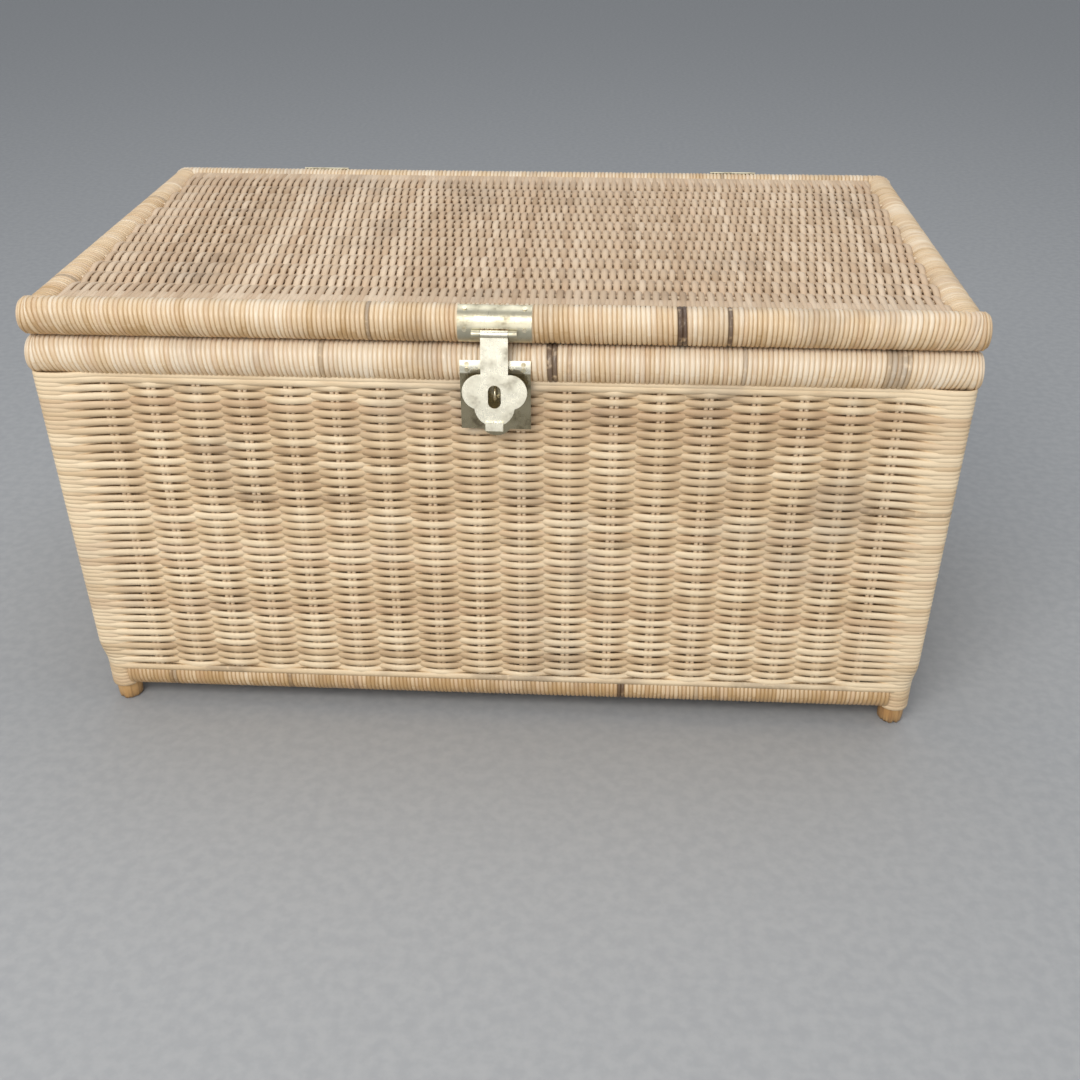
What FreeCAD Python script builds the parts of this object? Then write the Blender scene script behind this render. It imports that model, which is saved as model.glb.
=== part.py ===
"""Woven rattan storage trunk with a hinged lid, a brass hasp and four pole feet.

A pole frame carries the weave: four corner posts whose lower ends are the feet, four bottom
rails, a rim of four poles on the post tops and a lid frame of four more.  Every rail is wound
with split cane.  Stakes stand in the walls, and fine round cane is woven over and under them.
Two brass hinges at the rear carry the lid, and a brass hasp on its front hangs over a staple.

Frame: origin at the middle of the trunk's plan, on the floor.  +X runs to the trunk's right as
its owner faces it, +Y to the rear, +Z up.  Millimetres.
"""
import FreeCAD, Part
import Sketcher
import math
import os

X_AXIS = FreeCAD.Vector(1, 0, 0)
Y_AXIS = FreeCAD.Vector(0, 1, 0)
TURN = {
    "x": FreeCAD.Rotation(Y_AXIS, 90),
    "y": FreeCAD.Rotation(X_AXIS, -90),
    "z": FreeCAD.Rotation(),
}

DIMENSIONS = {
    "trunk_width": 813,
    "trunk_depth": 460,
    "trunk_height": 426,
    "winding": 4,
    "lid_pole": 25,
    "rim_pole": 28,
    "bottom_pole": 22,
    "lid_gap": 0.5,
    "foot_height": 18.5,
    "corner_round": 9,
    "pole_end_cover": 10,
    "post_diameter": 25,
    "post_inset": 22,
    "post_into_rim": 8,
    "foot_chamfer": 1.5,
    "weave_inset": 5,
    "wall_thickness": 12,
    "corner_weave_start": 19,
    "stake_diameter": 4,
    "stake_spacing": 4.5,
    "stake_pitch": 40.4,
    "lid_weave_drop": 1.5,
    "lid_weave_thickness": 11,
    "lid_stake_pitch": 29,
    "floor_base": 38,
    "floor_thickness": 10,
    "floor_bar": 16,
    "floor_bar_place": 130,
    "sheet_metal": 1.2,
    "knuckle_radius": 3.25,
    "pin_radius": 1.3,
    "running_clearance": 0.06,
    "hasp_knuckle_reach": 20.4,
    "hasp_knuckle_drop": 6,
    "hasp_plate_width": 62,
    "hasp_plate_wrap": 78,
    "hasp_plate_under": 42,
    "strap_width": 23,
    "strap_side_gap": 0.4,
    "side_knuckle": 7,
    "slot_height": 354,
    "slot_width": 11,
    "slot_length": 20,
    "lobe_radius": 15,
    "lobe_offset": 12.5,
    "lobe_rise": 4,
    "lower_lobe_radius": 17,
    "lower_lobe_drop": 8.5,
    "tab_width": 15,
    "tab_length": 2.6,
    "tab_height": 7.5,
    "tab_hang": 3.5,
    "hasp_rest_angle": 9.3,
    "back_plate_width": 60,
    "back_plate_base": 320,
    "back_plate_wrap": 24,
    "back_lobe_radius": 13.5,
    "back_lobe_height": 327,
    "staple_wire": 2.4,
    "staple_spread": 4.7,
    "staple_reach": 8.4,
    "staple_clinch": 2.5,
    "hinge_place": 230,
    "hinge_width": 50,
    "hinge_centre_knuckle": 24,
    "hinge_leaf_base": 345,
    "hinge_leaf_wrap": 78,
    "hinge_knuckle_radius": 4,
    "hinge_side_gap": 0.4,
    "lip_reach": 12,
    "lip_thickness": 1.6,
    "stop_angle": 105,
    "nail_head_radius": 1.9,
    "nail_head": 0.8,
    "nail_shank_radius": 0.7,
    "nail_length": 12,
}
FRONT_STAKES = 18
SIDE_STAKES = 9
LID_STAKES = 13
FLOOR_STAKES = 17

doc = FreeCAD.newDocument("trunk")
dims = doc.addObject("Spreadsheet::Sheet", "dims")
for row, (alias, size) in enumerate(DIMENSIONS.items(), start=1):
    dims.set(f"A{row}", alias)
    dims.set(f"B{row}", str(size))
    dims.setAlias(f"B{row}", alias)
doc.recompute()

nodes = []

# Places that several pieces share, worked out from the sheet.
LID_RADIUS = "(dims.lid_pole / 2 + dims.winding)"
RIM_RADIUS = "(dims.rim_pole / 2 + dims.winding)"
BOTTOM_RADIUS = "(dims.bottom_pole / 2 + dims.winding)"
LID_Z = f"(dims.trunk_height - {LID_RADIUS})"
RIM_Z = f"({LID_Z} - {LID_RADIUS} - dims.lid_gap - {RIM_RADIUS})"
BOTTOM_Z = f"(dims.foot_height + {BOTTOM_RADIUS})"
HALF_WIDTH = "(dims.trunk_width / 2)"
HALF_DEPTH = "(dims.trunk_depth / 2)"
POST_X = f"({HALF_WIDTH} - dims.post_inset)"
POST_Y = f"({HALF_DEPTH} - dims.post_inset)"
FACE_X = f"({HALF_WIDTH} - dims.weave_inset)"
FACE_Y = f"({HALF_DEPTH} - dims.weave_inset)"
BORE_RADIUS = "(dims.pin_radius + dims.running_clearance)"
LEAF_FACE = f"({HALF_DEPTH} + dims.sheet_metal)"
HINGE_Y = f"({HALF_DEPTH} + dims.hinge_knuckle_radius)"
HINGE_Z = f"({RIM_Z} + {RIM_RADIUS} + dims.lid_gap / 2)"
HASP_Y = f"(-{HALF_DEPTH} + {LID_RADIUS} - dims.hasp_knuckle_reach * cos(dims.hasp_knuckle_drop * 1deg))"
HASP_Z = f"({LID_Z} - dims.hasp_knuckle_reach * sin(dims.hasp_knuckle_drop * 1deg))"


def size_of(expression):
    """The number that an expression on the sheet gives."""
    value = dims.evalExpression(str(expression))
    return float(getattr(value, "Value", value))


def bind(obj, **expressions):
    """Binds properties of obj to expressions on the sheet."""
    for name, expression in expressions.items():
        obj.setExpression(name, str(expression))
    return obj


def place(obj, x, y, z):
    """Binds the place of obj's own origin."""
    for axis, expression in zip("xyz", (x, y, z)):
        obj.setExpression(f"Placement.Base.{axis}", str(expression))
    return obj


def node(obj, name):
    """Makes obj one of the trunk's pieces, named for what it is."""
    obj.Label = name
    nodes.append(obj)
    return obj


def cylinder(name, axis, radius, length, x, y, z):
    """A cylinder along axis from the point x, y, z."""
    obj = doc.addObject("Part::Cylinder", name)
    obj.Placement = FreeCAD.Placement(FreeCAD.Vector(), TURN[axis])
    bind(obj, Radius=radius, Height=length)
    return place(obj, x, y, z)


def box(name, x, y, z, length, width, height):
    """A box from its lowest corner x, y, z."""
    obj = doc.addObject("Part::Box", name)
    bind(obj, Length=length, Width=width, Height=height)
    return place(obj, x, y, z)


def cut(name, base, *tools):
    """base less each tool in turn."""
    for count, tool in enumerate(tools):
        result = doc.addObject("Part::Cut", f"{name}_{count}")
        result.Base = base
        result.Tool = tool
        base = result
    return base


def fuse(name, *shapes):
    """One solid of several."""
    obj = doc.addObject("Part::MultiFuse", name)
    obj.Shapes = list(shapes)
    return obj


def group(name, members):
    """Separate solids of one kind, kept together."""
    obj = doc.addObject("Part::Compound", name)
    obj.Links = list(members)
    return obj


def plane_of(body, role):
    """One of the body's own origin planes."""
    return next(item for item in body.Origin.OriginFeatures if item.Role == role)


def strip(name, profile, width, middle="0"):
    """A sheet-metal strip: a closed profile in the YZ plane, padded both ways along X."""
    body = doc.addObject("PartDesign::Body", name)
    sketch = body.newObject("Sketcher::SketchObject", f"{name}_profile")
    sketch.AttachmentSupport = [(plane_of(body, "YZ_Plane"), "")]
    sketch.MapMode = "FlatFace"
    for edge in profile:
        sketch.addGeometry(edge, False)
    pad = body.newObject("PartDesign::Pad", f"{name}_pad")
    pad.Profile = sketch
    pad.Midplane = True
    bind(pad, Length=width)
    place(body, middle, "0", "0")
    return body


def line(start, end):
    """A straight edge of a profile, from (y, z) to (y, z)."""
    return Part.LineSegment(FreeCAD.Vector(*start, 0), FreeCAD.Vector(*end, 0))


def arc(centre, radius, low, high):
    """An arc of a profile, counter-clockwise from low to high degrees."""
    circle = Part.Circle(FreeCAD.Vector(*centre, 0), FreeCAD.Vector(0, 0, 1), radius)
    return Part.ArcOfCircle(circle, math.radians(low), math.radians(high))


def polar(centre, radius, degrees):
    """The point at an angle round a centre."""
    angle = math.radians(degrees)
    return (centre[0] + radius * math.cos(angle), centre[1] + radius * math.sin(angle))


def ring_sector(centre, inner, outer, low, high):
    """The four edges of a bent strip."""
    return [
        arc(centre, outer, low, high),
        line(polar(centre, outer, high), polar(centre, inner, high)),
        arc(centre, inner, low, high),
        line(polar(centre, inner, low), polar(centre, outer, low)),
    ]


def polygon(points):
    """The straight edges round a closed outline."""
    return [line(start, end) for start, end in zip(points, points[1:] + points[:1])]


# Corner posts: plain poles whose lower ends are the feet.
def corner_post(name, side_x, side_y):
    body = doc.addObject("PartDesign::Body", name)
    sketch = body.newObject("Sketcher::SketchObject", f"{name}_circle")
    sketch.AttachmentSupport = [(plane_of(body, "XY_Plane"), "")]
    sketch.MapMode = "FlatFace"
    circle = Part.Circle(FreeCAD.Vector(), FreeCAD.Vector(0, 0, 1), size_of("dims.post_diameter / 2"))
    index = sketch.addGeometry(circle, False)
    radius = sketch.addConstraint(Sketcher.Constraint("Radius", index, circle.Radius))
    sketch.setExpression(f"Constraints[{radius}]", "dims.post_diameter / 2")
    pad = body.newObject("PartDesign::Pad", f"{name}_pad")
    pad.Profile = sketch
    bind(pad, Length=f"{RIM_Z} - {RIM_RADIUS} + dims.post_into_rim")
    doc.recompute()
    chamfer = body.newObject("PartDesign::Chamfer", f"{name}_chamfer")
    foot = [
        f"Edge{count}"
        for count, edge in enumerate(pad.Shape.Edges, start=1)
        if edge.BoundBox.ZMax < 1e-6
    ]
    chamfer.Base = (pad, foot)
    bind(chamfer, Size="dims.foot_chamfer")
    place(body, f"{side_x} * {POST_X}", f"{side_y} * {POST_Y}", "0")
    return body


SIDES_X = {"left": -1, "right": 1}
SIDES_Y = {"front": -1, "rear": 1}
posts = {
    (row, side): corner_post(f"post_{row}_{side}_pole", SIDES_X[side], SIDES_Y[row])
    for row in SIDES_Y
    for side in SIDES_X
}


# A rim or lid frame: long front and rear poles, short side poles butted between them.
def long_cylinder(name, radius, y, z, cover):
    """A cylinder along X that stops short of the trunk's ends by cover."""
    length = f"dims.trunk_width - 2 * {cover}"
    return cylinder(name, "x", radius, length, f"-{HALF_WIDTH} + {cover}", y, z)


def cross_cylinder(name, radius, x, z):
    """A cylinder along Y between the front and rear posts."""
    return cylinder(name, "y", radius, f"2 * {POST_Y}", x, f"-{POST_Y}", z)


def rounded_rail(name, radius, y, z):
    """The outside of a long wound rail, with rounded corners at both ends."""
    rail = long_cylinder(f"{name}_round", radius, y, z, "0")
    doc.recompute()
    fillet = doc.addObject("Part::Fillet", name)
    fillet.Base = rail
    size = size_of("dims.corner_round")
    ends = [
        count
        for count, edge in enumerate(rail.Shape.Edges, start=1)
        if edge.BoundBox.XLength < 1e-6
    ]
    fillet.Edges = [(count, size, size) for count in ends]
    return fillet


def wound_frame(prefix, pole, radius, z):
    """Poles and winding sleeves of a frame, as two dictionaries, with the sleeves uncut."""
    outer = {}
    poles = {}
    for row, sign in SIDES_Y.items():
        y = f"{sign} * ({HALF_DEPTH} - {radius})"
        poles[row] = long_cylinder(f"{prefix}_pole_{row}", f"{pole} / 2", y, z, "dims.pole_end_cover")
        outer[row] = rounded_rail(f"{prefix}_outside_{row}", radius, y, z)
    for side, sign in SIDES_X.items():
        x = f"{sign} * ({HALF_WIDTH} - {radius})"
        whole = cross_cylinder(f"{prefix}_whole_{side}", f"{pole} / 2", x, z)
        poles[side] = cut(f"{prefix}_pole_{side}", whole, poles["front"], poles["rear"])
        outer[side] = cross_cylinder(f"{prefix}_outside_{side}", radius, x, z)
    return poles, outer


def finish_frame(prefix, poles, outer, neighbours):
    """Cuts the sleeves to the poles, each other and their neighbours, and names the nodes."""
    for row in SIDES_Y:
        tools = [poles[row], poles["left"], poles["right"], *neighbours[row]]
        sleeve = cut(f"{prefix}_sleeve_{row}", outer[row], *tools)
        node(poles[row], f"{prefix}_pole_{row}")
        node(sleeve, f"{prefix}_winding_{row}")
    for side in SIDES_X:
        tools = [poles[side], outer["front"], outer["rear"], *neighbours[side]]
        sleeve = cut(f"{prefix}_sleeve_{side}", outer[side], *tools)
        node(poles[side], f"{prefix}_pole_{side}")
        node(sleeve, f"{prefix}_winding_{side}")


rim_poles, rim_outer = wound_frame("rim", "dims.rim_pole", RIM_RADIUS, RIM_Z)
lid_poles, lid_outer = wound_frame("lid", "dims.lid_pole", LID_RADIUS, LID_Z)

for (row, side), body in posts.items():
    fitted = cut(f"post_{row}_{side}", body, rim_poles[row], rim_poles[side])
    node(fitted, f"corner_post_{row}_{side}")

rim_neighbours = {
    place_name: [post for corner, post in posts.items() if place_name in corner]
    for place_name in (*SIDES_Y, *SIDES_X)
}
finish_frame("rim", rim_poles, rim_outer, rim_neighbours)
finish_frame("lid", lid_poles, lid_outer, {name: [] for name in rim_neighbours})


# Bottom rails, butted between the posts.  The side rails stop at the front and rear ones.
bottom_outer = {}
for row, sign in SIDES_Y.items():
    y = f"{sign} * ({FACE_Y} - {BOTTOM_RADIUS})"
    ends = [posts[row, "left"], posts[row, "right"]]
    start = f"-{POST_X}"
    length = f"2 * {POST_X}"
    pole = cylinder(f"bottom_core_{row}", "x", "dims.bottom_pole / 2", length, start, y, BOTTOM_Z)
    outer = cylinder(f"bottom_outside_{row}", "x", BOTTOM_RADIUS, length, start, y, BOTTOM_Z)
    bottom_outer[row] = outer
    node(cut(f"bottom_pole_fit_{row}", pole, *ends), f"bottom_pole_{row}")
    node(cut(f"bottom_sleeve_{row}", outer, pole, *ends), f"bottom_winding_{row}")
for side, sign in SIDES_X.items():
    x = f"{sign} * ({FACE_X} - {BOTTOM_RADIUS})"
    ends = [posts["front", side], posts["rear", side], bottom_outer["front"], bottom_outer["rear"]]
    pole = cross_cylinder(f"bottom_core_{side}", "dims.bottom_pole / 2", x, BOTTOM_Z)
    outer = cross_cylinder(f"bottom_outside_{side}", BOTTOM_RADIUS, x, BOTTOM_Z)
    bottom_outer[side] = outer
    node(cut(f"bottom_pole_fit_{side}", pole, *ends), f"bottom_pole_{side}")
    node(cut(f"bottom_sleeve_{side}", outer, pole, *ends), f"bottom_winding_{side}")


# Wall stakes: upright reeds in pairs, from the bottom rail to the rim.
def centred(count, pitch):
    """Expressions for count places, pitch apart, about the middle."""
    return [f"({index - (count - 1) / 2} * {pitch})" for index in range(count)]


def paired(places):
    """Each place as the two reeds of a pair."""
    return [f"({place_name} {sign} dims.stake_spacing / 2)" for place_name in places for sign in "-+"]


def wall_stakes(name, spots, tools):
    reeds = [
        cylinder(f"{name}_{count}", "z", "dims.stake_diameter / 2", f"{RIM_Z} - {BOTTOM_Z}", x, y, BOTTOM_Z)
        for count, (x, y) in enumerate(spots)
    ]
    return node(cut(f"{name}_fit", group(f"{name}_reeds", reeds), *tools), name)


stakes = {}
WALL_MIDDLE = "dims.wall_thickness / 2"
for row, sign in SIDES_Y.items():
    y = f"{sign} * ({FACE_Y} - {WALL_MIDDLE})"
    spots = [(x, y) for x in paired(centred(FRONT_STAKES, "dims.stake_pitch"))]
    stakes[row] = wall_stakes(f"stakes_{row}", spots, [rim_outer[row], bottom_outer[row]])
for side, sign in SIDES_X.items():
    x = f"{sign} * ({FACE_X} - {WALL_MIDDLE})"
    spots = [(x, y) for y in paired(centred(SIDE_STAKES, "dims.stake_pitch"))]
    stakes[side] = wall_stakes(f"stakes_{side}", spots, [rim_outer[side], bottom_outer[side]])


# Woven walls.  Front and rear walls carry on round the outside of the posts.
def corner_turn(name, side, row):
    """A quarter of a cylinder of weave round the outside of a post."""
    height = f"{RIM_Z} - dims.corner_weave_start"
    radius = f"{FACE_X} - {POST_X}"
    obj = cylinder(
        name,
        "z",
        radius,
        height,
        f"{SIDES_X[side]} * {POST_X}",
        f"{SIDES_Y[row]} * {POST_Y}",
        "dims.corner_weave_start",
    )
    obj.Angle = 90
    start = {(1, 1): 0, (-1, 1): 90, (-1, -1): 180, (1, -1): 270}[SIDES_X[side], SIDES_Y[row]]
    obj.Placement.Rotation = FreeCAD.Rotation(FreeCAD.Vector(0, 0, 1), start)
    return obj


wall_height = f"{RIM_Z} - {BOTTOM_Z}"
for row, sign in SIDES_Y.items():
    low = f"-{FACE_Y}" if sign < 0 else f"{FACE_Y} - dims.wall_thickness"
    length = f"2 * {POST_X}"
    flat = box(f"wall_{row}", f"-{POST_X}", low, BOTTOM_Z, length, "dims.wall_thickness", wall_height)
    turns = [corner_turn(f"turn_{row}_{side}", side, row) for side in SIDES_X]
    wall = fuse(f"weave_{row}", flat, *turns)
    tools = [posts[row, "left"], posts[row, "right"], rim_outer[row], rim_outer["left"]]
    tools += [rim_outer["right"], bottom_outer[row], stakes[row]]
    node(cut(f"woven_{row}", wall, *tools), f"woven_wall_{row}")
for side, sign in SIDES_X.items():
    low = f"-{FACE_X}" if sign < 0 else f"{FACE_X} - dims.wall_thickness"
    depth = f"2 * {POST_Y}"
    wall = box(f"wall_{side}", low, f"-{POST_Y}", BOTTOM_Z, "dims.wall_thickness", depth, wall_height)
    tools = [posts["front", side], posts["rear", side], rim_outer[side], rim_outer["front"]]
    tools += [rim_outer["rear"], bottom_outer[side], stakes[side]]
    node(cut(f"woven_{side}", wall, *tools), f"woven_wall_{side}")


# Woven floor on two cross bars, held between the bottom rails.
floor_middle = "dims.floor_base + dims.floor_thickness / 2"
floor_rails = [bottom_outer["front"], bottom_outer["rear"]]
floor_reeds = [
    cross_cylinder(f"floor_reed_{count}", "dims.stake_diameter / 2", x, floor_middle)
    for count, x in enumerate(centred(FLOOR_STAKES, "dims.stake_pitch"))
]
floor_stakes = cut("floor_stakes_fit", group("floor_reeds", floor_reeds), *floor_rails)
node(floor_stakes, "floor_stakes")
floor_panel = box(
    "floor_panel",
    f"-{POST_X}",
    f"-{POST_Y}",
    "dims.floor_base",
    f"2 * {POST_X}",
    f"2 * {POST_Y}",
    "dims.floor_thickness",
)
node(
    cut("floor_weave", floor_panel, *bottom_outer.values(), *posts.values(), floor_stakes),
    "woven_floor",
)
bar_z = "dims.floor_base - dims.floor_bar / 2"
bars = [
    cross_cylinder(f"floor_bar_{side}", "dims.floor_bar / 2", f"{sign} * dims.floor_bar_place", bar_z)
    for side, sign in SIDES_X.items()
]
node(cut("floor_bars_fit", group("floor_bars", bars), *floor_rails), "floor_cross_bars")


# Lid panel: stakes across, fine strands woven from front to rear.
lid_base = "dims.trunk_height - dims.lid_weave_drop - dims.lid_weave_thickness"
lid_middle = "dims.trunk_height - dims.lid_weave_drop - dims.lid_weave_thickness / 2"
lid_reeds = [
    long_cylinder(f"lid_reed_{count}", "dims.stake_diameter / 2", y, lid_middle, LID_RADIUS)
    for count, y in enumerate(centred(LID_STAKES, "dims.lid_stake_pitch"))
]
lid_stakes = cut("lid_stakes_fit", group("lid_reeds", lid_reeds), lid_outer["left"], lid_outer["right"])
node(lid_stakes, "lid_stakes")
lid_panel = box(
    "lid_panel",
    f"-{HALF_WIDTH} + {LID_RADIUS}",
    f"-{HALF_DEPTH} + {LID_RADIUS}",
    lid_base,
    f"dims.trunk_width - 2 * {LID_RADIUS}",
    f"dims.trunk_depth - 2 * {LID_RADIUS}",
    "dims.lid_weave_thickness",
)
node(cut("lid_weave", lid_panel, *lid_outer.values(), lid_stakes), "woven_lid_panel")


# Brass hasp on the lid's front rail: a plate bent over the rail, a hinged strap and its pin.
metal = size_of("dims.sheet_metal")
half_depth = size_of(HALF_DEPTH)
lid_radius = size_of(LID_RADIUS)
rim_radius = size_of(RIM_RADIUS)
lid_z = size_of(LID_Z)
rim_z = size_of(RIM_Z)
hinge_y = size_of(HINGE_Y)
hinge_z = size_of(HINGE_Z)
hasp_y = size_of(HASP_Y)
hasp_z = size_of(HASP_Z)
front_rail = (-half_depth + lid_radius, lid_z)
wrap = size_of("dims.hasp_plate_wrap")
under = size_of("dims.hasp_plate_under")
FIT_GAP = 0.05

hasp_plate = strip(
    "hasp_plate_strip",
    ring_sector(front_rail, lid_radius + FIT_GAP, lid_radius + FIT_GAP + metal, 180 - wrap, 180 + under),
    "dims.hasp_plate_width",
)
inner_edge = "(dims.strap_width / 2 + dims.strap_side_gap)"
side_knuckles = []
for side, sign in SIDES_X.items():
    low = f"-{inner_edge} - dims.side_knuckle" if sign < 0 else inner_edge
    knuckle = cylinder(
        f"hasp_knuckle_{side}", "x", "dims.knuckle_radius", "dims.side_knuckle", low, HASP_Y, HASP_Z
    )
    side_knuckles.append(knuckle)
plate_notch = box(
    "hasp_plate_notch",
    f"-{inner_edge}",
    f"{HASP_Y} - dims.knuckle_radius",
    f"{HASP_Z} - 2 * dims.knuckle_radius",
    f"2 * {inner_edge}",
    "4 * dims.knuckle_radius",
    "3 * dims.knuckle_radius + dims.strap_side_gap",
)
pin_span = f"2 * ({inner_edge} + dims.side_knuckle)"
hasp_pin = cylinder(
    "hasp_hinge_pin", "x", "dims.pin_radius", pin_span, f"-{inner_edge} - dims.side_knuckle", HASP_Y, HASP_Z
)
node(
    cut("hasp_plate_cut", fuse("hasp_plate_whole", hasp_plate, *side_knuckles), plate_notch, hasp_pin),
    "hasp_lid_plate",
)
node(hasp_pin, "hasp_hinge_pin")

strap_back = f"({HASP_Y} + dims.sheet_metal / 2)"
strap_front = f"({HASP_Y} - dims.sheet_metal / 2)"
disc_z = "dims.slot_height + dims.lobe_rise"
lower_z = "dims.slot_height - dims.lower_lobe_drop"
strap = [
    box(
        "strap_flat",
        "-dims.strap_width / 2",
        strap_front,
        disc_z,
        "dims.strap_width",
        "dims.sheet_metal",
        f"{HASP_Z} - ({disc_z})",
    ),
    cylinder(
        "strap_knuckle",
        "x",
        "dims.knuckle_radius",
        "dims.strap_width",
        "-dims.strap_width / 2",
        HASP_Y,
        HASP_Z,
    ),
    cylinder(
        "strap_lower_lobe",
        "y",
        "dims.lower_lobe_radius",
        "dims.sheet_metal",
        "0",
        strap_front,
        lower_z,
    ),
]
for side, sign in SIDES_X.items():
    x = f"{sign} * dims.lobe_offset"
    lobe = cylinder(
        f"strap_lobe_{side}", "y", "dims.lobe_radius", "dims.sheet_metal", x, strap_front, disc_z
    )
    strap.append(lobe)
tab_base = f"{lower_z} - dims.lower_lobe_radius - dims.tab_hang"
strap.append(
    box(
        "strap_tab",
        "-dims.tab_width / 2",
        f"{strap_front} - dims.tab_length",
        tab_base,
        "dims.tab_width",
        "dims.tab_length + dims.sheet_metal",
        "dims.tab_height",
    )
)
round_part = "(dims.slot_length - dims.slot_width) / 2"
slot_cuts = [
    box(
        "slot_middle",
        "-dims.slot_width / 2",
        f"{strap_front} - dims.sheet_metal",
        f"dims.slot_height - {round_part}",
        "dims.slot_width",
        "3 * dims.sheet_metal",
        f"2 * {round_part}",
    )
]
for end, sign in (("top", "+"), ("bottom", "-")):
    slot_end = cylinder(
        f"slot_{end}",
        "y",
        "dims.slot_width / 2",
        "3 * dims.sheet_metal",
        "0",
        f"{strap_front} - dims.sheet_metal",
        f"dims.slot_height {sign} {round_part}",
    )
    slot_cuts.append(slot_end)
strap_bore = cylinder(
    "strap_bore", "x", BORE_RADIUS, "2 * dims.strap_width", "-dims.strap_width", HASP_Y, HASP_Z
)
hasp_strap = cut("strap_cut", fuse("strap_whole", *strap), *slot_cuts, strap_bore)
hasp_strap.Placement = FreeCAD.Placement(
    FreeCAD.Vector(),
    FreeCAD.Rotation(X_AXIS, -size_of("dims.hasp_rest_angle")),
    FreeCAD.Vector(0, hasp_y, hasp_z),
)
node(hasp_strap, "hasp_strap")


# Back plate on the rim, with a bent top, a lobed lower edge and the staple.
rim_front = (-half_depth + rim_radius, rim_z)
top = 180 - size_of("dims.back_plate_wrap")
base = size_of("dims.back_plate_base")
inside = rim_radius + FIT_GAP
outside = inside + metal
back_profile = [
    arc(rim_front, outside, top, 180),
    line(polar(rim_front, outside, 180), (rim_front[0] - outside, base)),
    line((rim_front[0] - outside, base), (rim_front[0] - inside, base)),
    line((rim_front[0] - inside, base), polar(rim_front, inside, 180)),
    arc(rim_front, inside, top, 180),
    line(polar(rim_front, inside, top), polar(rim_front, outside, top)),
]
back_strip = strip("back_plate_strip", back_profile, "dims.back_plate_width")
back_lobe = cylinder(
    "back_plate_lobe",
    "y",
    "dims.back_lobe_radius",
    "dims.sheet_metal",
    "0",
    f"-{HALF_DEPTH} - {FIT_GAP} - dims.sheet_metal",
    "dims.back_lobe_height",
)

STAPLE_BACK = f"(-{HALF_DEPTH} + dims.staple_clinch)"
STAPLE_BEND = f"(-{LEAF_FACE} - dims.staple_reach + dims.staple_spread + dims.staple_wire / 2)"
legs = [
    cylinder(
        f"staple_leg_{count}",
        "y",
        "dims.staple_wire / 2",
        f"{STAPLE_BACK} - {STAPLE_BEND}",
        "0",
        STAPLE_BEND,
        f"dims.slot_height + {sign} * dims.staple_spread",
    )
    for count, sign in enumerate((-1, 1))
]
bend = doc.addObject("Part::Torus", "staple_bend")
bend.Placement = FreeCAD.Placement(FreeCAD.Vector(), TURN["x"])
bind(bend, Radius1="dims.staple_spread", Radius2="dims.staple_wire / 2")
place(bend, "0", STAPLE_BEND, "dims.slot_height")
bend_room = box(
    "staple_bend_room",
    "-dims.staple_reach",
    STAPLE_BEND,
    "dims.slot_height - dims.staple_reach",
    "2 * dims.staple_reach",
    "2 * dims.staple_reach",
    "2 * dims.staple_reach",
)
staple = fuse("staple_whole", cut("staple_arch", bend, bend_room), *legs)
node(cut("back_plate_cut", fuse("back_plate_whole", back_strip, back_lobe), *legs), "hasp_back_plate")
node(staple, "hasp_staple")


# Rear hinges: a flat leaf on the rim, a bent leaf over the lid's rail, and stop lips.
rear_rail = (half_depth - lid_radius, lid_z)
leaf_wrap = size_of("dims.hinge_leaf_wrap")
lip_half = size_of("dims.stop_angle") / 2
lip_reach = size_of("dims.lip_reach")
lip_thick = size_of("dims.lip_thickness")
leaf_base = size_of("dims.hinge_leaf_base")
axis_point = (hinge_y, hinge_z)
barrel = size_of("dims.hinge_knuckle_radius")
clear_of_barrel = barrel + size_of("dims.hinge_side_gap")
LIP_ROOT = barrel - metal


def lip_outline(near, direction, side):
    """A straight lip whose stop face lies on a ray from the hinge axis."""
    ray = math.radians(direction)
    along = (math.cos(ray), math.sin(ray))
    across = (-side * along[1], side * along[0])
    corners = [(near, 0), (lip_reach, 0), (lip_reach, lip_thick), (near, lip_thick)]
    return polygon(
        [
            (
                axis_point[0] + far * along[0] + off * across[0],
                axis_point[1] + far * along[1] + off * across[1],
            )
            for far, off in corners
        ]
    )


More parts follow.
